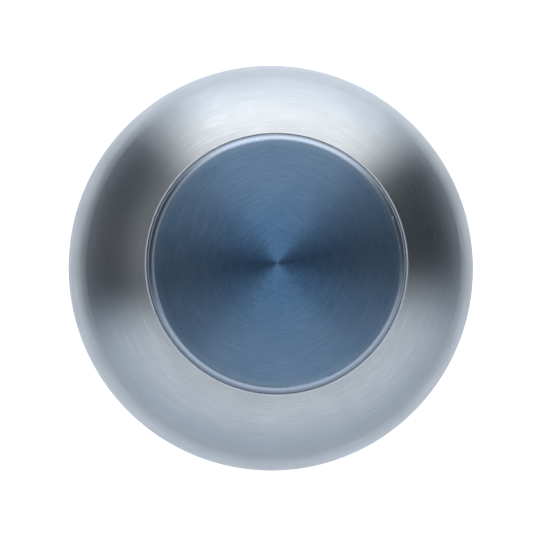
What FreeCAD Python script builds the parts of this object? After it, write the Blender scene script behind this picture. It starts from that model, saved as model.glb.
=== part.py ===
"""A metal yo-yo lying on one face: two hollow turned halves, each with an inset face cap, screwed
together on a threaded axle, with a shielded ball bearing between them in the string gap.

Millimetres. The origin is the centre of the bearing and +Z runs along the axle. Each piece of a
half is drawn as the upper half's; the lower half's is the same piece turned over about X.
"""

import FreeCAD, Part
import os
import Sketcher

DIMENSIONS = {
    # outside form of a half
    "overall_diameter": 56.0,
    "overall_width": 36.0,
    "string_gap": 4.6,
    "cap_rise": 0.8,  # how far the cap's face stands above the shell's lip
    "dome_radius": 17.8,  # section radius of the dome around the cap
    "dome_start": 14.0,  # the dome's slope in degrees where it leaves the lip
    "dome_end": 43.0,  # its slope in degrees where the tighter curve of the rim takes over
    "gap_wall_rise": 0.75,  # how far each gap wall leans back by the time it reaches the rim
    # shell: lip, cap seat and cavity
    "cap_bore_radius": 17.32,
    "lip_chamfer": 0.02,
    "lip_width": 0.23,
    "ledge_depth": 1.9,  # from the lip down to the ledge that the cap rests over
    "land_radius": 16.45,
    "land_length": 3.6,
    "rim_wall": 1.6,
    "web_top": 4.0,
    "web_step_radius": 11.0,
    "web_centre_top": 5.2,
    # shell: hub
    "hub_radius": 6.0,
    "hub_height": 10.4,
    "axle_hole_radius": 2.1,
    # shell: seats beside the string gap
    "spacer_seat_radius": 3.85,
    "bearing_recess_radius": 6.75,
    "bearing_recess_depth": 0.4,
    "pad_groove_inner_radius": 7.3,
    "pad_groove_outer_radius": 9.6,
    "pad_groove_depth": 1.1,
    # face cap and its ring
    "cap_radius": 17.3,
    "cap_edge_radius": 1.0,
    "cap_lip_bottom": 15.35,
    "cap_thickness": 1.6,
    "cap_skirt_radius": 16.4,
    "cap_skirt_inner_radius": 14.8,
    "cap_skirt_bottom": 12.5,
    "seal_groove_radius": 15.65,
    "seal_groove_bottom": 13.4,
    "seal_groove_top": 14.5,
    "seal_radius": 16.05,
    "seal_section_radius": 0.39,
    # response pad
    "pad_clearance": 0.05,
    "pad_recess": 0.06,
    "pad_edge_radius": 0.15,
    # axle, nuts and spacers
    "axle_radius": 2.0,
    "axle_length": 21.0,
    "axle_chamfer": 0.3,
    "thread_pitch": 0.7,
    "thread_depth": 0.33,
    "socket_across_flats": 2.0,
    "socket_depth": 2.0,
    "nut_across_flats": 7.0,
    "nut_bottom": 7.0,
    "nut_top": 10.2,
    "nut_bore_radius": 2.04,
    "nut_pocket_clearance": 0.025,
    "nut_chamfer": 0.4,
    "spacer_bore_radius": 2.05,
    "spacer_pilot_radius": 3.155,
    "spacer_pilot_bottom": 0.35,
    "spacer_flange_radius": 3.8,
    "spacer_flange_top": 3.4,
    # bearing, size C
    "bearing_bore_radius": 3.175,
    "bearing_outer_radius": 6.35,
    "bearing_width": 4.763,
    "race_chamfer": 0.15,
    "inner_shoulder_radius": 4.05,
    "outer_shoulder_radius": 5.45,
    "pitch_radius": 4.7625,
    "ball_radius": 1.0,
    "raceway_radius": 1.03,
    "shield_seat_radius": 5.75,
    "shield_seat_height": 1.9,
    "shield_inner_radius": 4.15,
    "shield_outer_radius": 5.72,
    "shield_bottom": 1.95,
    "shield_top": 2.1,
    "snap_ring_inner_radius": 5.3,
    "snap_ring_top": 2.3,
    "snap_ring_opening": 24.0,
    "cage_inner_radius": 4.25,
    "cage_outer_radius": 5.27,
    "cage_bottom": -1.4,
    "cage_top": 0.35,
    "cage_pocket_radius": 1.05,
}
BALL_COUNT = 8

# Expressions that several pieces share.
D = "Dimensions."
RIM_RADIUS = f"{D}overall_diameter / 2"
FACE_HEIGHT = f"{D}overall_width / 2"
LIP_HEIGHT = f"({FACE_HEIGHT} - {D}cap_rise)"
LIP_RADIUS = f"({D}cap_bore_radius + {D}lip_width)"
LEDGE_HEIGHT = f"({LIP_HEIGHT} - {D}ledge_depth)"
LAND_BOTTOM = f"({LEDGE_HEIGHT} - {D}land_length)"
START = f"({D}dome_start * 1 deg)"
END = f"({D}dome_end * 1 deg)"
DOME_END_RADIUS = f"({LIP_RADIUS} + {D}dome_radius * (sin({END}) - sin({START})))"
DOME_END_HEIGHT = f"({LIP_HEIGHT} - {D}dome_radius * (cos({START}) - cos({END})))"
# The rim's curve leaves the dome without a kink and is upright at the widest circle.
RIM_SECTION = f"(({RIM_RADIUS} - {DOME_END_RADIUS}) / (1 - sin({END})))"
RIM_HEIGHT = f"({DOME_END_HEIGHT} - {RIM_SECTION} * cos({END}))"
GAP_WALL = f"{D}string_gap / 2"
CORNER_HEIGHT = f"({GAP_WALL} + {D}gap_wall_rise)"
CORNER_SECTION = f"({RIM_HEIGHT} - {CORNER_HEIGHT})"
CORNER_RADIUS = f"({RIM_RADIUS} - {CORNER_SECTION})"
BEARING_FACE = f"{D}bearing_width / 2"

doc = FreeCAD.newDocument("yo_yo")
sheet = doc.addObject("Spreadsheet::Sheet", "Dimensions")
for row, (name, value) in enumerate(DIMENSIONS.items(), start=1):
    sheet.set(f"A{row}", name)
    sheet.set(f"B{row}", str(value))
    sheet.setAlias(f"B{row}", name)
doc.recompute()


def number(expression):
    """The present value of an expression, as a plain float."""
    value = sheet.evalExpression(expression)
    return float(getattr(value, "Value", value))


def new_body(label):
    body = doc.addObject("PartDesign::Body", label)
    body.Label = label
    return body


def origin_plane(body, role):
    return next(feature for feature in body.Origin.OriginFeatures if feature.Role == role)


def new_sketch(body, name, role="XZ_Plane"):
    sketch = body.newObject("Sketcher::SketchObject", name)
    sketch.AttachmentSupport = (origin_plane(body, role), "")
    sketch.MapMode = "FlatFace"
    return sketch


def bind(sketch, constraint, expression, label):
    """Adds a driving constraint and ties its value to an expression."""
    added = sketch.addConstraint(constraint)
    sketch.renameConstraint(added, label)
    sketch.setExpression(f"Constraints.{label}", expression)


def draw_outline(sketch, corners):
    """Draws a closed section, radius to the right and height upwards. Each corner is (radius,
    height), and the edge that leaves it is straight, or, with a third and fourth entry, an arc:
    its radius, then +1 where it bulges to the right of its path or -1 to the left."""
    points = [FreeCAD.Vector(number(c[0]), number(c[1]), 0) for c in corners]
    count = len(corners)
    for index, corner in enumerate(corners):
        start = points[index]
        end = points[(index + 1) % count]
        if len(corner) == 2:
            sketch.addGeometry(Part.LineSegment(start, end), False)
            continue
        radius = number(corner[2])
        along = end - start
        half = along.Length / 2
        outward = FreeCAD.Vector(along.y, -along.x, 0).normalize() * corner[3]
        centre = (start + end) * 0.5 - outward * max(radius**2 - half**2, 0) ** 0.5
        first, last = (start, end) if corner[3] > 0 else (end, start)
        circle = Part.Circle(centre, FreeCAD.Vector(0, 0, 1), radius)
        arc = Part.ArcOfCircle(circle, circle.parameter(first), circle.parameter(last))
        sketch.addGeometry(arc, False)
    ends = [(1, 2) if len(c) == 2 or c[3] > 0 else (2, 1) for c in corners]
    for index in range(count):
        following = (index + 1) % count
        joint = (index, ends[index][1], following, ends[following][0])
        sketch.addConstraint(Sketcher.Constraint("Coincident", *joint))
    for index, corner in enumerate(corners):
        place_point(sketch, index, ends[index][0], corner[0], corner[1], f"p{index}")
        if len(corner) > 2:
            radius = Sketcher.Constraint("Radius", index, number(corner[2]))
            bind(sketch, radius, corner[2], f"p{index}_arc")


def place_point(sketch, edge, end, radius, height, label):
    """Ties one point to its radius and height from the sketch's origin."""
    for kind, expression, axis in (("DistanceX", radius, -2), ("DistanceY", height, -1)):
        value = number(expression)
        if abs(value) < 1e-9:
            sketch.addConstraint(Sketcher.Constraint("PointOnObject", edge, end, axis))
            continue
        constraint = Sketcher.Constraint(kind, -1, 1, edge, end, value)
        bind(sketch, constraint, expression, f"{label}_{kind[-1].lower()}")


def turn(body, name, corners, kind="PartDesign::Revolution", angle="360 deg"):
    """Turns a section about the body's Z axis: adds material, or cuts it with a Groove."""
    sketch = new_sketch(body, f"{name}_section")
    draw_outline(sketch, corners)
    feature = body.newObject(kind, name)
    feature.Profile = sketch
    feature.ReferenceAxis = (sketch, ["V_Axis"])
    feature.setExpression("Angle", angle)
    doc.recompute()
    return feature


def prism(body, name, kind, across_flats, bottom, top):
    """Adds or cuts a hexagonal prism along Z."""
    feature = body.newObject(kind, name)
    feature.Polygon = 6
    feature.AttachmentSupport = (origin_plane(body, "XY_Plane"), "")
    feature.MapMode = "FlatFace"
    feature.setExpression("Circumradius", f"({across_flats}) / 2 / cos(30 deg)")
    feature.setExpression("Height", f"{top} - ({bottom})")
    feature.setExpression("AttachmentOffset.Base.z", bottom)
    doc.recompute()
    return feature


def make_shell(label):
    """A half's hollow shell: rounded rim, wall beside the gap, and a hub with a nut pocket."""
    body = new_body(label)
    recess_floor = f"{GAP_WALL} + {D}bearing_recess_depth"
    pad_floor = f"{GAP_WALL} + {D}pad_groove_depth"
    cavity_rim = f"({RIM_SECTION} - {D}rim_wall)"
    cavity_corner = f"({CORNER_SECTION} - {D}rim_wall)"
    shoulder_reach = f"sqrt({cavity_rim}^2 - ({LAND_BOTTOM} - {RIM_HEIGHT})^2)"
    corners = [
        # seats beside the string gap, from the axle outwards
        (f"{D}axle_hole_radius", f"{D}spacer_flange_top"),
        (f"{D}spacer_seat_radius", f"{D}spacer_flange_top"),
        (f"{D}spacer_seat_radius", recess_floor),
        (f"{D}bearing_recess_radius", recess_floor),
        (f"{D}bearing_recess_radius", GAP_WALL),
        (f"{D}pad_groove_inner_radius", GAP_WALL),
        (f"{D}pad_groove_inner_radius", pad_floor),
        (f"{D}pad_groove_outer_radius", pad_floor),
        (f"{D}pad_groove_outer_radius", GAP_WALL),
        # outside: gap wall, its corner, rim, dome and lip
        (CORNER_RADIUS, CORNER_HEIGHT, CORNER_SECTION, 1),
        (RIM_RADIUS, RIM_HEIGHT, RIM_SECTION, 1),
        (DOME_END_RADIUS, DOME_END_HEIGHT, f"{D}dome_radius", 1),
        (LIP_RADIUS, LIP_HEIGHT),
        (f"{D}cap_bore_radius + {D}lip_chamfer", LIP_HEIGHT),
        # cap seat
        (f"{D}cap_bore_radius", f"{LIP_HEIGHT} - {D}lip_chamfer"),
        (f"{D}cap_bore_radius", LEDGE_HEIGHT),
        (f"{D}land_radius", LEDGE_HEIGHT),
        (f"{D}land_radius", LAND_BOTTOM),
        # cavity, back to the hub
        (f"{RIM_RADIUS} - {RIM_SECTION} + {shoulder_reach}", LAND_BOTTOM, cavity_rim, -1),
        (f"{RIM_RADIUS} - {D}rim_wall", RIM_HEIGHT, cavity_corner, -1),
        (CORNER_RADIUS, f"{RIM_HEIGHT} - {cavity_corner}"),
        (f"{D}web_step_radius", f"{D}web_top"),
        (f"{D}web_step_radius", f"{D}web_centre_top"),
        (f"{D}hub_radius", f"{D}web_centre_top"),
        (f"{D}hub_radius", f"{D}hub_height"),
        (f"{D}axle_hole_radius", f"{D}hub_height"),
    ]
    turn(body, f"{label}_turning", corners)
    pocket_width = f"{D}nut_across_flats + 2 * {D}nut_pocket_clearance"
    pocket = (pocket_width, f"{D}nut_bottom", f"{D}hub_height")
    prism(body, f"{label}_nut_pocket", "PartDesign::SubtractivePrism", *pocket)
    return body


def make_cap(label):
    """A face cap: flat disc, rounded edge, and a skirt with a groove for its ring."""
    body = new_body(label)
    inner_top = f"{FACE_HEIGHT} - {D}cap_thickness"
    edge_bottom = f"{FACE_HEIGHT} - {D}cap_edge_radius"
    corners = [
        ("0", inner_top),
        (f"{D}cap_skirt_inner_radius", inner_top),
        (f"{D}cap_skirt_inner_radius", f"{D}cap_skirt_bottom"),
        (f"{D}cap_skirt_radius", f"{D}cap_skirt_bottom"),
        (f"{D}cap_skirt_radius", f"{D}seal_groove_bottom"),
        (f"{D}seal_groove_radius", f"{D}seal_groove_bottom"),
        (f"{D}seal_groove_radius", f"{D}seal_groove_top"),
        (f"{D}cap_skirt_radius", f"{D}seal_groove_top"),
        (f"{D}cap_skirt_radius", f"{D}cap_lip_bottom"),
        (f"{D}cap_radius", f"{D}cap_lip_bottom"),
        (f"{D}cap_radius", edge_bottom, f"{D}cap_edge_radius", 1),
        (f"{D}cap_radius - {D}cap_edge_radius", FACE_HEIGHT),
        ("0", FACE_HEIGHT),
    ]
    turn(body, f"{label}_turning", corners)
    return body


def make_o_ring(label):
    ring = doc.addObject("Part::Torus", label)
    ring.setExpression("Radius1", f"{D}seal_radius")
    ring.setExpression("Radius2", f"{D}seal_section_radius")
    ring.setExpression("Placement.Base.z", f"({D}seal_groove_bottom + {D}seal_groove_top) / 2")
    return ring


def make_nut(label):
    """A hexagon nut with its corners chamfered at both ends."""
    body = new_body(label)
    height = (f"{D}nut_bottom", f"{D}nut_top")
    prism(body, f"{label}_blank", "PartDesign::AdditivePrism", f"{D}nut_across_flats", *height)
    flat = f"{D}nut_across_flats / 2"
    corner = f"({flat} / cos(30 deg) + 0.1)"
    rise = f"(({corner} - {flat}) * tan(30 deg))"
    bore = f"{D}nut_bore_radius"
    cuts = {
        "bore": [("0", height[0]), (bore, height[0]), (bore, height[1]), ("0", height[1])],
        "top_chamfer": [
            (flat, height[1]),
            (corner, f"{height[1]} - {rise}"),
            (corner, height[1]),
        ],
        "bottom_chamfer": [
            (flat, height[0]),
            (corner, height[0]),
            (corner, f"{height[0]} + {rise}"),
        ],
        "countersink": [
            (bore, f"{height[1]} - {D}nut_chamfer"),
            (f"{bore} + {D}nut_chamfer", height[1]),
            (bore, height[1]),
        ],
    }
    for cut, corners in cuts.items():
        turn(body, f"{label}_{cut}", corners, "PartDesign::Groove")
    return body


def make_spacer(label):
    """A top-hat spacer: its pilot centres the bearing and its flange holds the half off it."""
    body = new_body(label)
    corners = [
        (f"{D}spacer_bore_radius", f"{D}spacer_pilot_bottom"),
        (f"{D}spacer_pilot_radius", f"{D}spacer_pilot_bottom"),
        (f"{D}spacer_pilot_radius", BEARING_FACE),
        (f"{D}spacer_flange_radius", BEARING_FACE),
        (f"{D}spacer_flange_radius", f"{D}spacer_flange_top"),
        (f"{D}spacer_bore_radius", f"{D}spacer_flange_top"),
    ]
    turn(body, f"{label}_turning", corners)
    return body


def make_pad(label):
    """A flat silicone ring with its two edges on the string side rounded."""
    body = new_body(label)
    inner = f"{D}pad_groove_inner_radius + {D}pad_clearance"
    outer = f"{D}pad_groove_outer_radius - {D}pad_clearance"
    bottom = f"{GAP_WALL} + {D}pad_recess"
    top = f"{GAP_WALL} + {D}pad_groove_depth"
    edge = f"{D}pad_edge_radius"
    corners = [
        (inner, f"{bottom} + {edge}", edge, 1),
        (f"{inner} + {edge}", bottom),
        (f"{outer} - {edge}", bottom, edge, 1),
        (outer, f"{bottom} + {edge}"),
        (outer, top),
        (inner, top),
    ]
    turn(body, f"{label}_moulding", corners)
    return body


def make_axle(label):
    """A threaded stud with chamfered ends and a hexagon socket in each end."""
    body = new_body(label)
    radius = f"{D}axle_radius"
    end = f"{D}axle_length / 2"
    chamfer = f"{D}axle_chamfer"
    corners = [
        ("0", f"-{end}"),
        (f"{radius} - {chamfer}", f"-{end}"),
        (radius, f"-{end} + {chamfer}"),
        (radius, f"{end} - {chamfer}"),
        (f"{radius} - {chamfer}", end),
        ("0", end),
    ]
    turn(body, f"{label}_turning", corners)
    pitch = f"{D}thread_pitch"
    crest = f"({radius} + 0.01)"
    root = f"{radius} - {D}thread_depth"
    first = f"(-{end} + {chamfer} + {pitch})"
    thread = [
        (root, first),
        (crest, f"{first} - {pitch} * 0.44"),
        (crest, f"{first} + {pitch} * 0.44"),
    ]
    groove = turn(body, f"{label}_thread_groove", thread, "PartDesign::Groove")
    pattern = body.newObject("PartDesign::LinearPattern", f"{label}_thread")
    pattern.Originals = [groove]
    pattern.Direction = (groove.Profile[0], ["V_Axis"])
    grooves = int((number(f"{D}axle_length - 2 * {chamfer}")) / number(pitch)) - 1
    pattern.Occurrences = grooves
    pattern.setExpression("Length", f"{pitch} * {grooves - 1}")
    body.Tip = pattern
    doc.recompute()
    socket = f"{D}socket_across_flats"
    for side, bottom, top in (
        ("upper", f"{end} - {D}socket_depth", end),
        ("lower", f"-{end}", f"-{end} + {D}socket_depth"),
    ):
        name = f"{label}_{side}_socket"
        prism(body, name, "PartDesign::SubtractivePrism", socket, bottom, top)
    return body


def make_race(label, shoulder, outwards):
    """A bearing race, either the inner (outwards -1) or the outer (outwards 1)."""
    body = new_body(label)
    face = BEARING_FACE
    chamfer = f"{D}race_chamfer"
    reach = f"sqrt({D}raceway_radius^2 - ({shoulder} - {D}pitch_radius)^2)"
    if outwards < 0:
        bore = f"{D}bearing_bore_radius"
        corners = [
            (bore, f"-{face} + {chamfer}"),
            (f"{bore} + {chamfer}", f"-{face}"),
            (shoulder, f"-{face}"),
            (shoulder, f"-{reach}", f"{D}raceway_radius", -1),
            (shoulder, reach),
            (shoulder, face),
            (f"{bore} + {chamfer}", face),
            (bore, f"{face} - {chamfer}"),
        ]
    else:
        outside = f"{D}bearing_outer_radius"
        seat = f"{D}shield_seat_radius"
        seat_height = f"{D}shield_seat_height"
        corners = [
            (shoulder, f"-{seat_height}"),
            (seat, f"-{seat_height}"),
            (seat, f"-{face}"),
            (f"{outside} - {chamfer}", f"-{face}"),
            (outside, f"-{face} + {chamfer}"),
            (outside, f"{face} - {chamfer}"),
            (f"{outside} - {chamfer}", face),
            (seat, face),
            (seat, seat_height),
            (shoulder, seat_height),
            (shoulder, reach, f"{D}raceway_radius", -1),
            (shoulder, f"-{reach}"),
        ]
    turn(body, f"{label}_turning", corners)
    return body


def make_ball(name, index):
    """One sphere on the bearing's pitch circle."""
    angle = f"({360 / BALL_COUNT * index} deg)"
    ball = doc.addObject("Part::Sphere", name)
    ball.setExpression("Placement.Base.x", f"{D}pitch_radius * cos({angle})")
    ball.setExpression("Placement.Base.y", f"{D}pitch_radius * sin({angle})")
    return ball


def make_balls(label):
    balls = [make_ball(f"ball_{index}", index) for index in range(BALL_COUNT)]
    for ball in balls:
        ball.setExpression("Radius", f"{D}ball_radius")
    compound = doc.addObject("Part::Compound", label)
    compound.Links = balls
    return compound


def make_cage(label):
    """A crown cage: a ring with a round pocket for each ball."""
    ring = doc.addObject("Part::Cylinder", f"{label}_ring")
    ring.setExpression("Radius", f"{D}cage_outer_radius")
    hole = doc.addObject("Part::Cylinder", f"{label}_hole")
    hole.setExpression("Radius", f"{D}cage_inner_radius")
    for cylinder in (ring, hole):
        cylinder.setExpression("Height", f"{D}cage_top - {D}cage_bottom")
        cylinder.setExpression("Placement.Base.z", f"{D}cage_bottom")
    pockets = [make_ball(f"{label}_pocket_{index}", index) for index in range(BALL_COUNT)]
    for pocket in pockets:
        pocket.setExpression("Radius", f"{D}cage_pocket_radius")
    cuts = doc.addObject("Part::MultiFuse", f"{label}_cuts")
    cuts.Shapes = [hole, *pockets]
    cage = doc.addObject("Part::Cut", label)
    cage.Base = ring
    cage.Tool = cuts
    return cage


def make_shield(label):
    body = new_body(label)
    corners = [
        (f"{D}shield_inner_radius", f"{D}shield_bottom"),
        (f"{D}shield_outer_radius", f"{D}shield_bottom"),
        (f"{D}shield_outer_radius", f"{D}shield_top"),
        (f"{D}shield_inner_radius", f"{D}shield_top"),
    ]
    turn(body, f"{label}_pressing", corners)
    return body


def make_snap_ring(label):
    """A flat C-shaped ring that lies on a shield."""
    body = new_body(label)
    corners = [
        (f"{D}snap_ring_inner_radius", f"{D}shield_top"),
        (f"{D}shield_outer_radius", f"{D}shield_top"),
        (f"{D}shield_outer_radius", f"{D}snap_ring_top"),
        (f"{D}snap_ring_inner_radius", f"{D}snap_ring_top"),
    ]
    turn(body, f"{label}_bend", corners, angle=f"360 deg - {D}snap_ring_opening * 1 deg")
    return body


def turned_over(piece):
    """Moves a piece to the lower half, by turning it over about X."""
    turn_over = FreeCAD.Rotation(FreeCAD.Vector(1, 0, 0), 180)
    if piece.TypeId == "Part::Torus":
        height = "({0}seal_groove_bottom + {0}seal_groove_top) / 2".format(D)
        piece.setExpression("Placement.Base.z", f"-{height}")
        return piece
    piece.Placement = FreeCAD.Placement(FreeCAD.Vector(0, 0, 0), turn_over)
    return piece


HALF_PIECES = {
    "half_shell": make_shell,
    "face_cap": make_cap,
    "cap_o_ring": make_o_ring,
    "axle_nut": make_nut,
    "bearing_spacer": make_spacer,
    "response_pad": make_pad,
    "bearing_shield": make_shield,
    "shield_snap_ring": make_snap_ring,
}
pieces = []
for name, make in HALF_PIECES.items():
    pieces.append(make(f"upper_{name}"))
    pieces.append(turned_over(make(f"lower_{name}")))
pieces.append(make_axle("axle_stud"))
pieces.append(make_race("bearing_inner_race", f"{D}inner_shoulder_radius", -1))
pieces.append(make_race("bearing_outer_race", f"{D}outer_shoulder_radius", 1))
pieces.append(make_balls("bearing_balls"))
pieces.append(make_cage("bearing_cage"))
doc.recompute()

failed = [item.Name for item in doc.Objects if {"Invalid", "Error"} & set(item.State)]
if failed:
    raise RuntimeError(f"failed to recompute: {failed}")
for piece in pieces:
    if piece.Shape.isNull() or not piece.Shape.isValid():
        raise RuntimeError(f"bad shape: {piece.Label}")

os.makedirs("parts", exist_ok=True)
for piece in pieces:
    piece.Shape.exportStep(f"parts/{piece.Label}.step")
    box = piece.Shape.optimalBoundingBox(False)
    print(
        f"{piece.Label}: {len(piece.Shape.Solids)} solid, {piece.Shape.Volume:.1f} mm3, "
        f"radius {box.XMax:.2f}, height {box.ZMin:.2f} to {box.ZMax:.2f}"
    )
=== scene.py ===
import math

import bpy
from mathutils import Matrix, Vector


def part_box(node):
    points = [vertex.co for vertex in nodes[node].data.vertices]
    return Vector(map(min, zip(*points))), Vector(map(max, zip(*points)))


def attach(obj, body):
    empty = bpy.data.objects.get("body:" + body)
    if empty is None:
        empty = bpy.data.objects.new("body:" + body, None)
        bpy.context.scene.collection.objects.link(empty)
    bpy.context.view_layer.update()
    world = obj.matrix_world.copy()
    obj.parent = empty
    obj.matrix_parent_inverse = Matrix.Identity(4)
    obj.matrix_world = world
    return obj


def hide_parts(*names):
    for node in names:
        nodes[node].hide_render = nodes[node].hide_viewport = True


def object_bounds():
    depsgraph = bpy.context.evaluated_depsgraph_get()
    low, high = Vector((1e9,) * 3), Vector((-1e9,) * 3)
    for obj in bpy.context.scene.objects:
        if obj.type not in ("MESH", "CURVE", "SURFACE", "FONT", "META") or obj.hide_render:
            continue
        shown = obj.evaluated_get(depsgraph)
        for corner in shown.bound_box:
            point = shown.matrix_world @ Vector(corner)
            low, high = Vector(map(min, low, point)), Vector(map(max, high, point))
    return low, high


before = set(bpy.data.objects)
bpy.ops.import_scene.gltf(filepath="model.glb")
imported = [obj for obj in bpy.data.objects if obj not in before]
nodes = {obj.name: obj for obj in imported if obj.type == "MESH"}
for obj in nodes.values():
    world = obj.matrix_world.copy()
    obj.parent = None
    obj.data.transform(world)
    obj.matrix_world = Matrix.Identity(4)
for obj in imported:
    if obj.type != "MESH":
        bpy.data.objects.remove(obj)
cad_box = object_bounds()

MM = 0.001
SEGMENTS = 96
UP = (0, 0, 1)
HORIZONTAL = (1, 1, 0)  # keeps the two level parts of a vector
NOISE_LOW, NOISE_HIGH = 0.3, 0.7  # where most of a noise's values lie

# The cap's rounded edge and the lip cut round it.
CAP_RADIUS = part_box("upper_face_cap")[1].x
CAP_EDGE_RADIUS = 1.0 * MM
LIP_START = CAP_RADIUS + 0.08 * MM
LIP_END = CAP_RADIUS + 0.26 * MM
HEIGHT_TOLERANCE = 0.01 * MM
UPRIGHT = 0.999  # a normal counts as straight up or down above this Z part

# The axle's thread, and the hexagon socket in each end of the stud.
PITCH = 0.7 * MM
THREAD_DEPTH = 0.36 * MM
THREAD_CHAMFER = 0.35 * MM
THREAD_STEPS = 14  # rings of points in a turn
CREST_FLAT, FLANKS = 0.14, 0.68  # shares of the pitch, both flanks together
SOCKET_WIDTH = 2 * MM
SOCKET_DEPTH = 2 * MM


class Graph:
    """A node tree, with short ways to add nodes and join them."""

    def __init__(self, tree):
        self.tree = tree

    def node(self, kind, **settings):
        made = self.tree.nodes.new("ShaderNode" + kind)
        for key, value in settings.items():
            setattr(made, key, value)
        return made

    def wire(self, source, target):
        """Joins an output to an input, or sets the input if source is a plain value."""
        if isinstance(source, bpy.types.NodeSocket):
            self.tree.links.new(source, target)
        else:
            target.default_value = source

    def filled(self, node, *values):
        """Wires values to a node's first inputs, in order, and returns its first output."""
        for index, value in enumerate(values):
            self.wire(value, node.inputs[index])
        return node.outputs[0]

    def math(self, operation, *values):
        return self.filled(self.node("Math", operation=operation), *values)

    def vector(self, operation, *values):
        return self.filled(self.node("VectorMath", operation=operation), *values)

    def ramp(self, value, start, end, low=0.0, high=1.0, smooth=True):
        """Maps start to low and end to high, and holds those values beyond."""
        kind = "SMOOTHSTEP" if smooth else "LINEAR"
        made = self.node("MapRange", interpolation_type=kind)
        return self.filled(made, value, start, end, low, high)

    def spread(self, noise, low=0.0, high=1.0):
        """Maps the range that a noise mostly fills to low and high."""
        return self.ramp(noise, NOISE_LOW, NOISE_HIGH, low, high)

    def blend(self, first, second, share):
        """A sum of two values, of which the first gets this share."""
        rest = self.math("MULTIPLY", second, 1 - share)
        return self.math("ADD", self.math("MULTIPLY", first, share), rest)

    def scaled(self, color, factor):
        made = self.node("VectorMath", operation="SCALE")
        self.wire(color, made.inputs[0])
        self.wire(factor, made.inputs["Scale"])
        return made.outputs[0]


class Surface(Graph):
    """A material's nodes. Positions are on the object, in metres."""

    def __init__(self, name):
        self.material = bpy.data.materials.new(name)
        self.material.use_nodes = True
        super().__init__(self.material.node_tree)
        self.tree.nodes.clear()
        self.output = self.node("OutputMaterial")
        self.place = self.node("TexCoord").outputs["Object"]

    def axes(self):
        split = self.node("SeparateXYZ")
        self.wire(self.place, split.inputs[0])
        return split.outputs

    def radius(self):
        """Distance from the Z axis."""
        x, y, _ = self.axes()
        squares = self.math("ADD", self.math("MULTIPLY", x, x), self.math("MULTIPLY", y, y))
        return self.math("SQRT", squares)

    def outward(self):
        """Unit vector away from the Z axis."""
        return self.vector("NORMALIZE", self.vector("MULTIPLY", self.place, HORIZONTAL))

    def section(self):
        """Grows along a turned section, so bands drawn from it are turning marks."""
        return self.math("SUBTRACT", self.radius(), self.math("ABSOLUTE", self.axes()[2]))

    def noise(self, size, detail=2.0, roughness=0.5, along=None, warp=0.0):
        """Noise whose grains are about size across, in three dimensions or along one value."""
        made = self.node("TexNoise", noise_dimensions="3D" if along is None else "1D")
        if along is None:
            self.wire(self.place, made.inputs["Vector"])
        else:
            self.wire(along, made.inputs["W"])
        made.inputs["Scale"].default_value = 1.0 / size
        made.inputs["Detail"].default_value = detail
        made.inputs["Roughness"].default_value = roughness
        made.inputs["Distortion"].default_value = warp
        return made.outputs["Fac"]

    def mix(self, factor, first, second):
        made = self.node("Mix", data_type="RGBA")
        self.wire(factor, made.inputs["Factor"])
        self.wire(first, made.inputs[6])
        self.wire(second, made.inputs[7])
        return made.outputs[2]

    def tint(self, factor, dark, light):
        return self.mix(factor, rgb(*dark), rgb(*light))

    def bump(self, height, distance):
        made = self.node("Bump")
        made.inputs["Distance"].default_value = distance
        self.wire(height, made.inputs["Height"])
        return made.outputs["Normal"]

    def finish(self, **values):
        """Adds the Principled shader. Keywords name its sockets, with _ for a space."""
        shader = self.node("BsdfPrincipled")
        for key, value in values.items():
            self.wire(value, shader.inputs[key.replace("_", " ")])
        self.wire(shader.outputs["BSDF"], self.output.inputs["Surface"])
        return self.material


def rgb(red, green, blue):
    return (red, green, blue, 1.0)


def turned_metal(name, dark, light, roughness, stretch, mark, depth, zones=(), **coat):
    """Metal from a lathe: fine rings, gloss stretched across them, and faint handling patches.
    Each zone is (dark, light, start, end): colours that it shifts to between two radii."""
    s = Surface(name)
    section = s.section()
    fine = s.noise(mark * 0.4, detail=3.0, roughness=0.75, along=section)
    patches = s.noise(6 * MM, detail=4.0, roughness=0.6, warp=0.4)
    # Broken arcs: noise drawn out round the axis, so that each ring fades in and out.
    raised = s.scaled(UP, section)
    place = s.vector("ADD", s.scaled(s.outward(), mark * 4), raised)
    arcs = s.noise(mark, detail=3.0, roughness=0.7)
    s.wire(place, arcs.node.inputs["Vector"])
    rings = s.blend(fine, arcs, 0.35)
    shade = s.blend(rings, patches, 0.75)
    tone = s.ramp(shade, 0.40, 0.60)
    color = s.tint(tone, dark, light)
    for zone_dark, zone_light, start, end in zones:
        zone_color = s.tint(tone, zone_dark, zone_light)
        color = s.mix(s.ramp(s.radius(), start, end), color, zone_color)
    tangent = s.node("Tangent", direction_type="RADIAL", axis="Z").outputs[0]
    return s.finish(
        Base_Color=color,
        Metallic=1.0,
        Roughness=s.ramp(shade, 0.36, 0.64, roughness + 0.04, roughness - 0.04, smooth=False),
        Anisotropic=stretch,
        Anisotropic_Rotation=0.25,
        Tangent=tangent,
        Normal=s.bump(rings, depth),
        **coat,
    )


def plain_metal(name, dark, light, roughness, grain, depth):
    """Rolled, plated or ground metal: mottled a little in colour and gloss."""
    s = Surface(name)
    mottle = s.noise(grain, detail=5.0, roughness=0.65)
    clouds = s.noise(grain * 12, detail=2.0)
    blend = s.blend(mottle, clouds, 0.6)
    return s.finish(
        Base_Color=s.tint(s.spread(blend), dark, light),
        Metallic=1.0,
        Roughness=s.spread(blend, roughness + 0.06, roughness - 0.06),
        Normal=s.bump(mottle, depth),
    )


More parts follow.
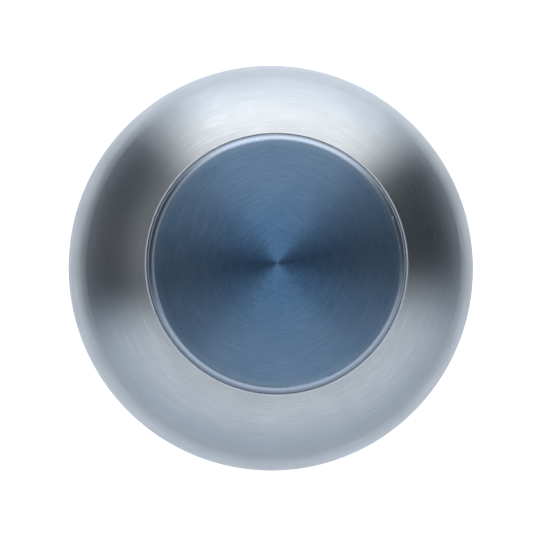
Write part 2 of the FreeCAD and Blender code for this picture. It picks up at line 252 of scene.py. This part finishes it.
def moulded(name, dark, light, roughness, grain, depth, **values):
    """Rubber, silicone or nylon: fine moulded grain and soft cloudy colour."""
    s = Surface(name)
    fine = s.noise(grain, detail=4.0, roughness=0.7)
    clouds = s.noise(2.5 * MM, detail=3.0)
    return s.finish(
        Base_Color=s.tint(s.spread(clouds), dark, light),
        Roughness=s.spread(fine, roughness - 0.07, roughness + 0.07),
        Normal=s.bump(fine, depth),
        **values,
    )


SILVER = turned_metal(
    "silver_aluminium",
    (0.62, 0.65, 0.675),
    (0.69, 0.72, 0.745),
    0.30,
    0.92,
    0.2 * MM,
    0.0025 * MM,
    zones=(((0.575, 0.635, 0.705), (0.645, 0.705, 0.775), 19 * MM, 25 * MM),),
)
BLUE = turned_metal(
    "blue_anodised",
    (0.09, 0.20, 0.375),
    (0.16, 0.325, 0.56),
    0.34,
    0.92,
    0.15 * MM,
    0.005 * MM,
    zones=(
        # painted light: the face pales from the middle outward, standing in for its reflections
        ((0.185, 0.31, 0.475), (0.26, 0.40, 0.585), 2 * MM, 15 * MM),
        # painted highlight: paler blue just inside the rounded edge softens the band of reflected
        # light
        ((0.27, 0.385, 0.54), (0.33, 0.455, 0.615), 15.2 * MM, 16.4 * MM),
    ),
    Coat_Weight=1.0,
    Coat_Roughness=0.16,
    Coat_IOR=1.7,
)


def rounded_edge(name, dark, light, roughness, start, end, lean):
    """A cut edge too fine to mesh. From radius start to radius end its shading leans outward
    by the first and then the second of the lean values, as a rounded edge would."""
    s = Surface(name)
    mottle = s.noise(0.25 * MM, detail=4.0)
    across = s.ramp(s.radius(), start, end, lean[0], lean[1], smooth=False)
    flat = s.node("NewGeometry").outputs["Normal"]
    leaning = s.vector("NORMALIZE", s.vector("ADD", flat, s.scaled(s.outward(), across)))
    return s.finish(
        Base_Color=s.tint(s.spread(mottle), dark, light),
        Metallic=1.0,
        Roughness=s.spread(mottle, roughness + 0.03, roughness - 0.03),
        Normal=leaning,
    )


LIP = rounded_edge(
    "cut_lip", (0.80, 0.83, 0.87), (0.88, 0.90, 0.93), 0.42, LIP_START, LIP_END, (-0.1, 0.45)
)


def cap_edge(name):
    """The cap's rounded edge: smoother than the face, a painted highlight halfway down, blue painted
    shade on the steep side.
    """
    s = Surface(name)
    mottle = s.noise(0.3 * MM, detail=4.0, roughness=0.6)
    radius = s.radius()
    tone = s.spread(mottle)
    deep = s.tint(tone, (0.28, 0.37, 0.49), (0.32, 0.41, 0.53))
    # painted highlight: the pale tint halfway down the edge stands in for the bright band of
    # reflected light
    painted_highlight_tint = s.tint(tone, (0.48, 0.56, 0.69), (0.54, 0.62, 0.75))
    # painted shade: darker blue on the steep side stands in for the dark reflection there
    painted_shade_tint = s.tint(tone, (0.25, 0.34, 0.49), (0.30, 0.40, 0.55))
    painted_highlight_ramp = s.ramp(radius, 16.25 * MM, 16.95 * MM)
    painted_shade_ramp = s.ramp(radius, 17.0 * MM, 17.18 * MM)
    return s.finish(
        Base_Color=s.mix(painted_shade_ramp, s.mix(painted_highlight_ramp, deep, painted_highlight_tint), painted_shade_tint),
        Metallic=1.0,
        Roughness=s.spread(mottle, 0.31, 0.27),
        Coat_Weight=0.6,
        Coat_Roughness=0.12,
        Coat_IOR=1.6,
    )


CAP_EDGE = cap_edge("blue_edge")
NUT = plain_metal("nut_steel", (0.46, 0.46, 0.45), (0.58, 0.58, 0.57), 0.34, 0.25 * MM, 0.004 * MM)
THREAD = plain_metal("axle_steel", (0.34, 0.34, 0.35), (0.47, 0.47, 0.48), 0.30, 0.2 * MM, 0.003 * MM)
BALL = plain_metal("ball_steel", (0.70, 0.70, 0.71), (0.76, 0.76, 0.77), 0.10, 0.3 * MM, 0.0004 * MM)
BRASS = turned_metal(
    "brass_spacer", (0.66, 0.46, 0.20), (0.80, 0.60, 0.30), 0.26, 0.6, 0.05 * MM, 0.003 * MM
)
RACE = turned_metal(
    "bearing_steel", (0.56, 0.56, 0.57), (0.68, 0.68, 0.69), 0.20, 0.5, 0.03 * MM, 0.0015 * MM
)
SHIELD = turned_metal(
    "shield_steel", (0.50, 0.50, 0.51), (0.62, 0.62, 0.63), 0.32, 0.7, 0.05 * MM, 0.002 * MM
)
SILICONE = moulded(
    "silicone_pad",
    (0.74, 0.76, 0.78),
    (0.84, 0.86, 0.88),
    0.52,
    0.12 * MM,
    0.012 * MM,
    Subsurface_Weight=0.25,
    Subsurface_Scale=0.6 * MM,
)
RUBBER = moulded("black_rubber", (0.012, 0.012, 0.013), (0.03, 0.03, 0.03), 0.55, 0.1 * MM, 0.01 * MM)
NYLON = moulded("cage_nylon", (0.66, 0.62, 0.52), (0.78, 0.74, 0.64), 0.42, 0.15 * MM, 0.008 * MM)

FINISHES = {
    "half_shell": SILVER,
    "face_cap": BLUE,
    "cap_o_ring": RUBBER,
    "axle_nut": NUT,
    "bearing_spacer": BRASS,
    "response_pad": SILICONE,
    "bearing_shield": SHIELD,
    "shield_snap_ring": NUT,
    "axle_stud": THREAD,
    "bearing_inner_race": RACE,
    "bearing_outer_race": RACE,
    "bearing_balls": BALL,
    "bearing_cage": NYLON,
}
for name, node in nodes.items():
    kind = name.removeprefix("upper_").removeprefix("lower_")
    node.data.materials.clear()
    node.data.materials.append(FINISHES[kind])

# The lip round each cap and the cap's rounded edge are finished apart from the faces beside them; the
# cap edge carries painted highlight and shade.
for half in ("upper", "lower"):
    lip_height = max(abs(corner.z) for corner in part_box(f"{half}_half_shell"))
    shell = nodes[f"{half}_half_shell"].data
    shell.materials.append(LIP)
    for face in shell.polygons:
        at_lip = abs(abs(face.center.z) - lip_height) < HEIGHT_TOLERANCE
        if at_lip and abs(face.normal.z) > UPRIGHT:
            face.material_index = 1
    cap_height = max(abs(corner.z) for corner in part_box(f"{half}_face_cap"))
    cap = nodes[f"{half}_face_cap"].data
    cap.materials.append(CAP_EDGE)
    edge_bottom = cap_height - CAP_EDGE_RADIUS - HEIGHT_TOLERANCE
    for face in cap.polygons:
        beyond = math.hypot(face.center.x, face.center.y) > CAP_RADIUS - CAP_EDGE_RADIUS
        if beyond and abs(face.normal.z) < UPRIGHT and abs(face.center.z) > edge_bottom:
            face.material_index = 1


# ---- the axle's thread ----


def hexagon_reach(angle, across_flats):
    """Distance from a hexagon's middle to its side, at an angle."""
    turned = (angle + math.pi / 6) % (math.pi / 3) - math.pi / 6
    return across_flats / 2 / math.cos(turned)


def thread_depth(height, angle, pitch):
    """0 at a crest and 1 at a root of a right-hand V thread with small flats."""
    phase = (height / pitch - angle / (2 * math.pi)) % 1.0
    slope = abs(phase - 0.5) * 2
    return min(max((slope - CREST_FLAT) / FLANKS, 0.0), 1.0)


def add_piece(name, points, faces, material):
    """A smooth-shaded mesh object in the scene."""
    mesh = bpy.data.meshes.new(name)
    mesh.from_pydata(points, [], faces)
    mesh.polygons.foreach_set("use_smooth", [True] * len(faces))
    mesh.materials.append(material)
    made = bpy.data.objects.new(name, mesh)
    bpy.context.scene.collection.objects.link(made)
    return made


def make_thread(name):
    """The stud with a real helix: rings of points up the axle, then a socket in each end."""
    low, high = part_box("axle_stud")
    crest = high.x
    length = high.z - low.z
    steps = round(length / PITCH * THREAD_STEPS)
    angles = [2 * math.pi * index / SEGMENTS for index in range(SEGMENTS)]

    def ring(height, reach_at):
        reaches = [(reach_at(angle), angle) for angle in angles]
        return [(r * math.cos(a), r * math.sin(a), height) for r, a in reaches]

    def socket(height):
        return ring(height, lambda angle: hexagon_reach(angle, SOCKET_WIDTH))

    loops = [socket(low.z + SOCKET_DEPTH), socket(low.z)]
    for step in range(steps + 1):
        height = low.z + length * step / steps
        limit = crest - max(THREAD_CHAMFER - min(height - low.z, high.z - height), 0)

        def reach(angle):
            return min(crest - THREAD_DEPTH * thread_depth(height, angle, PITCH), limit)

        loops.append(ring(height, reach))
    loops += [socket(high.z), socket(high.z - SOCKET_DEPTH)]
    points = [point for loop in loops for point in loop]
    faces = []
    for row in range(len(loops) - 1):
        for index in range(SEGMENTS):
            following = (index + 1) % SEGMENTS
            start, above = row * SEGMENTS, (row + 1) * SEGMENTS
            faces.append((start + index, start + following, above + following, above + index))
    last = (len(loops) - 1) * SEGMENTS
    faces.append(tuple(reversed(range(SEGMENTS))))
    faces.append(tuple(range(last, last + SEGMENTS)))
    made = add_piece(name, points, faces, THREAD)
    made.data.set_sharp_from_angle(angle=math.radians(40))
    return made


thread = make_thread("axle_thread")
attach(thread, "lower_half")
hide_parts("axle_stud")


# ---- studio: a pale round sweep, soft light from the back and front ----

FLOOR = cad_box[0].z
TABLE_HEIGHT = -0.02 * MM  # just under the sweep


def paper(name, glow, fade=None):
    """Pale backdrop paper. glow is how far it shines by itself, as evenly lit paper does, behind
    and in front of the object. fade is the two radii that it darkens between."""
    s = Surface(name)
    kept = s.ramp(s.radius(), fade[1], fade[0]) if fade else 1.0
    tone = s.math("MULTIPLY", s.spread(s.noise(0.12, detail=3.0), 0.79, 0.82), kept)
    shade = s.node("CombineColor")
    s.filled(shade, tone, tone, tone)
    behind, front = glow
    shining = s.ramp(s.axes()[1], -0.01, 0.05, front, behind)
    return s.finish(
        Base_Color=shade.outputs[0],
        Roughness=0.9,
        Emission_Color=rgb(1, 1, 1),
        Emission_Strength=s.math("MULTIPLY", shining, kept),
    )


def sweep(name, outline, material):
    """A round surface about Z from (radius, height) pairs."""
    points = []
    faces = []
    for index in range(SEGMENTS):
        angle = 2 * math.pi * index / SEGMENTS
        for reach, height in outline:
            points.append((reach * math.cos(angle), reach * math.sin(angle), FLOOR + height))
    count = len(outline)
    for index in range(SEGMENTS):
        start, beside = index * count, (index + 1) % SEGMENTS * count
        for row in range(count - 1):
            faces.append((start + row, start + row + 1, beside + row + 1, beside + row))
    made = add_piece(name, points, faces, material)
    return made


def cove(radius, bend, steps=12):
    """A quarter circle of points, from the floor up to a wall."""
    turns = [math.pi / 2 * step / steps for step in range(steps + 1)]
    return [(radius + bend * math.sin(a), bend - bend * math.cos(a)) for a in turns]


MIDDLE = 0.0001  # the sweep's first radius, not quite 0 so that its faces keep four corners
seen = sweep(
    "studio_sweep",
    [(MIDDLE, 0), (0.3, 0), *cove(1.6, 0.6), (2.2, 3.0)],
    paper("sweep_paper", (0.82, 0.82)),
)
seen.visible_glossy = False
seen.visible_diffuse = False
seen.visible_shadow = False
table = sweep(
    "table_bounce",
    [(MIDDLE, TABLE_HEIGHT), (0.4, TABLE_HEIGHT)],
    paper("table_paper", (0.60, 0.42), fade=(0.05, 0.34)),
)
table.visible_camera = False

# Panels of light in the studio: azimuths from +X in degrees where each begins, is full, starts
# to fade and ends, its share of light left at the horizon, and its radiance.
PANELS = (
    (33, 57, 107, 137, 0.93, (1.24, 1.245, 1.25)),
    (184, 210, 336, 366, 0.42, (0.80, 0.85, 0.91)),
    (135, 165, 172, 195, 1.0, (0.022, 0.014, 0.010)),
)
SEAM = 22  # azimuth that no panel crosses
OVERHEAD = (158, 20, 20, (0.36, 0.38, 0.40))  # azimuth, angle from straight up, spread, radiance
DIM_TOP = (0.12, 0.5)  # sines of the angle from straight up: no panel light, then all of it
ROOM = (0.022, 0.031, 0.040)


def studio_world():
    world = bpy.data.worlds.new("studio")
    world.use_nodes = True
    g = Graph(world.node_tree)
    direction = g.node("TexCoord").outputs["Generated"]
    split = g.node("SeparateXYZ")
    g.wire(direction, split.inputs[0])
    azimuth = g.math("ARCTAN2", split.outputs[1], split.outputs[0])
    past_seam = g.math("SUBTRACT", azimuth, math.radians(SEAM))
    turned = g.math("FLOORED_MODULO", past_seam, 2 * math.pi)
    level = g.node("VectorMath", operation="LENGTH")
    g.wire(g.vector("MULTIPLY", direction, HORIZONTAL), level.inputs[0])
    below_top = g.ramp(level.outputs["Value"], *DIM_TOP)
    color = ROOM
    for start, full, fading, end, horizon, radiance in PANELS:
        rise = g.ramp(turned, math.radians(start - SEAM), math.radians(full - SEAM))
        fall = g.ramp(turned, math.radians(end - SEAM), math.radians(fading - SEAM))
        height = g.ramp(split.outputs[2], 0.0, 0.75, horizon, 1.0, smooth=False)
        amount = g.math("MULTIPLY", g.math("MULTIPLY", rise, fall), below_top)
        color = g.vector("ADD", color, g.scaled(radiance, g.math("MULTIPLY", amount, height)))
    side, lean, spread, radiance = OVERHEAD
    a, e = math.radians(side), math.radians(lean)
    towards = (math.sin(e) * math.cos(a), math.sin(e) * math.sin(a), math.cos(e))
    facing = g.node("VectorMath", operation="DOT_PRODUCT")
    g.filled(facing, direction, towards)
    amount = g.ramp(facing.outputs["Value"], math.cos(math.radians(spread)), 1.0)
    color = g.vector("ADD", color, g.scaled(radiance, amount))
    g.wire(color, world.node_tree.nodes["Background"].inputs["Color"])
    return world


bpy.context.scene.world = studio_world()


def softbox(name, azimuth, elevation, distance, size, radiance):
    """A square light that faces the object."""
    data = bpy.data.lights.new(name, "AREA")
    data.shape = "SQUARE"
    data.size = size
    data.energy = radiance * math.pi * size * size
    made = bpy.data.objects.new(name, data)
    a, e = math.radians(azimuth), math.radians(elevation)
    direction = Vector((math.cos(a) * math.cos(e), math.sin(a) * math.cos(e), math.sin(e)))
    made.location = direction * distance
    made.rotation_mode = "QUATERNION"
    made.rotation_quaternion = direction.to_track_quat("Z", "Y")
    made.visible_camera = False
    bpy.context.scene.collection.objects.link(made)


softbox("key", azimuth=86, elevation=42, distance=1.0, size=0.8, radiance=0.25)


# ---- camera: nearly down the axle, from a little in front and to the left ----

TILT = math.radians(4.8)
DISTANCE = 0.2531
target = Vector((-0.26 * MM, -0.37 * MM, 6.95 * MM))
back = Vector((-0.80, -0.60, 0)).normalized() * math.sin(TILT) + Vector((0, 0, math.cos(TILT)))
right = Vector((1, 0, 0))
right = (right - back * right.dot(back)).normalized()
camera_data = bpy.data.cameras.new("camera")
camera_data.lens = 122
camera_data.sensor_width = 36
camera_data.clip_start = 0.01
camera_data.clip_end = 10
camera = bpy.data.objects.new("camera", camera_data)
camera.location = target + back * DISTANCE
camera.rotation_mode = "QUATERNION"
camera.rotation_quaternion = Matrix((right, back.cross(right), back)).transposed().to_quaternion()
bpy.context.scene.collection.objects.link(camera)
bpy.context.scene.camera = camera
bpy.context.scene.view_settings.view_transform = "Standard"
